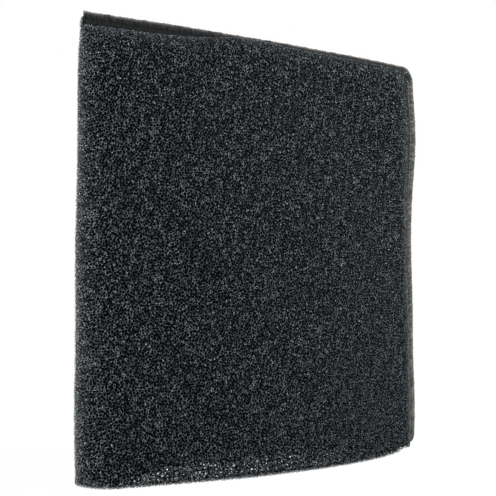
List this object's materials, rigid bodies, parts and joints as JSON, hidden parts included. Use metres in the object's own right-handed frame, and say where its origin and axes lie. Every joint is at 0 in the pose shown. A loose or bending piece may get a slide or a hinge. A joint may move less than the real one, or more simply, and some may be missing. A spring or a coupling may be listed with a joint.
{
  "type": "foam filter sleeve",
  "caption": "Flat open-cell foam filter sleeve, folded along one side, heat-welded along the other side and one end, with an open mouth that slips over a filter cage.",
  "frame": {"origin": "centre of the mouth, on the plane of its rim, midway across the flat width and between the two walls", "axes": "+X across the flat sleeve from the fold to the side weld, +Y through its thickness from the front wall to the rear wall, +Z from the open mouth up to the welded end"},
  "size_m": [0.18, 0.05, 0.18],
  "materials": {
    "foam": "matt open-cell foam",
    "welded_foam": "satin, fused smooth by heat"
  },
  "bodies": {
    "root": {"front_wall": "foam", "rear_wall": "foam", "folded_edge": "foam", "end_weld": "welded_foam", "side_weld": "welded_foam"}
  },
  "joints": []
}
